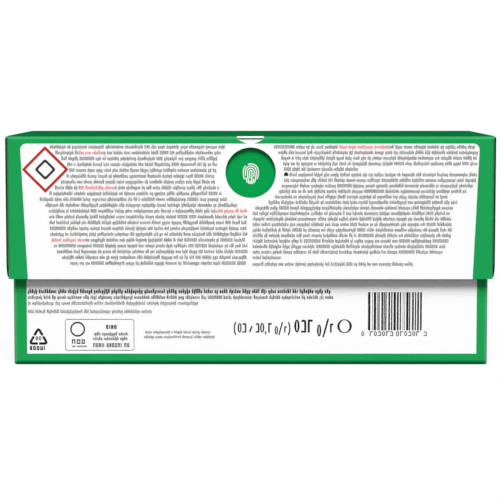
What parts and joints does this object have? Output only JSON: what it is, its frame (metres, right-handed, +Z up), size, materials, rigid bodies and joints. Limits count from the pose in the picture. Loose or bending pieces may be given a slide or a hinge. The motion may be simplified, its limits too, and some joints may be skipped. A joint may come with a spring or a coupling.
{
  "type": "laundry pod pack",
  "caption": "Closed card carton of laundry pods: a deep lid telescopes over a narrower base and is freed by press flaps behind finger holes, with sealed pods inside.",
  "frame": {"origin": "centre of the underside, on the surface that the pack stands on", "axes": "+Z up, X along the pack's long side, the pictured face towards -Y"},
  "size_m": [0.227, 0.104, 0.107],
  "materials": {
    "base_board": "satin printed",
    "lid_board": "satin printed",
    "flap_board": "satin printed",
    "pod_film": "gloss"
  },
  "bodies": {
    "base": {"base_carton": "base_board", "pod_01": "pod_film", "pod_02": "pod_film", "pod_03": "pod_film", "pod_04": "pod_film", "pod_05": "pod_film", "pod_06": "pod_film", "pod_07": "pod_film", "pod_08": "pod_film", "pod_09": "pod_film", "pod_10": "pod_film", "pod_11": "pod_film", "pod_12": "pod_film", "pod_13": "pod_film", "pod_14": "pod_film", "pod_15": "pod_film", "pod_16": "pod_film", "pod_17": "pod_film", "pod_18": "pod_film", "pod_19": "pod_film", "pod_20": "pod_film", "pod_21": "pod_film", "pod_22": "pod_film", "pod_23": "pod_film", "pod_24": "pod_film", "pod_25": "pod_film", "pod_26": "pod_film"},
    "lid": {"lid_carton": "lid_board"},
    "front_flap": {"front_press_flap": "flap_board"},
    "back_flap": {"back_press_flap": "flap_board"}
  },
  "joints": [
    {"name": "lid_lift", "type": "slide", "parent": "base", "child": "lid", "axis": [0, 0, 1], "range_m": [0, 0.11]},
    {"name": "front_press", "type": "hinge", "parent": "base", "child": "front_flap", "pos_m": [0, -0.04858, 0.065], "axis": [-1, 0, 0], "range_deg": [0, 8], "stiffness_Nm_per_rad": 0.05},
    {"name": "back_press", "type": "hinge", "parent": "base", "child": "back_flap", "pos_m": [0, 0.04858, 0.065], "axis": [1, 0, 0], "range_deg": [0, 8], "stiffness_Nm_per_rad": 0.05}
  ]
}
